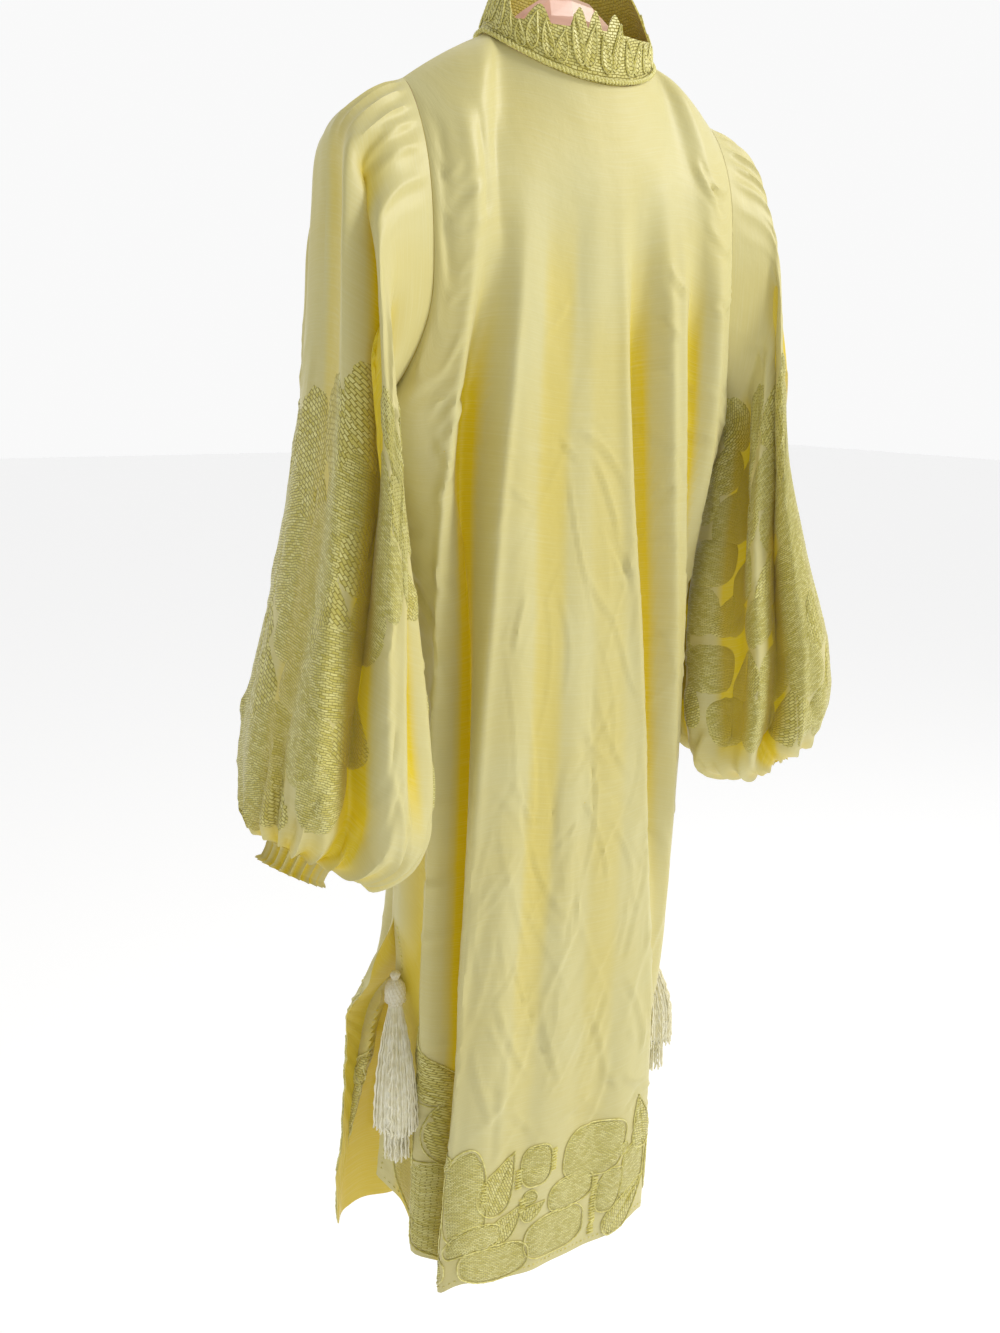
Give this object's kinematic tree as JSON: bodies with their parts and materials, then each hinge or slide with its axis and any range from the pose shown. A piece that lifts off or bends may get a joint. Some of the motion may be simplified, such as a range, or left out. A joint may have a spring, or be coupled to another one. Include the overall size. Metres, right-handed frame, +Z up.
{
  "type": "kaftan on a clothes hanger",
  "caption": "Pale yellow kaftan on a wooden hanger, with an embroidered leaf-edged stand collar, full gathered sleeves, side slits and ivory tassels.",
  "frame": {"origin": "inside top of the hanger's hook, where a rail would carry it", "axes": "+Z up along the hanging garment; the front faces -Y and the hanger's arms lie along X"},
  "size_m": [0.5911, 0.2596, 1.2166],
  "materials": {
    "cloth": "crisp plain-weave cloth with a soft sheen, pale lemon yellow",
    "embroidered_cloth": "cloth covered with rows of golden-yellow stitches",
    "piping": "twisted yellow cord",
    "tassel_thread": "ivory thread with a slight sheen",
    "wood": "pinkish wood under thin satin lacquer",
    "hook_metal": "plated steel wire"
  },
  "bodies": {
    "root": {"front_panel": "cloth", "back_panel": "cloth", "sleeve_left": "cloth", "sleeve_right": "cloth", "sleeve_right_lower": "cloth", "cuff_left": "cloth", "cuff_right": "cloth", "collar": "embroidered_cloth", "neck_piping": "piping", "hanger": "wood", "hanger_hook": "hook_metal", "tassel_left": "tassel_thread", "tassel_right": "tassel_thread"}
  },
  "joints": []
}
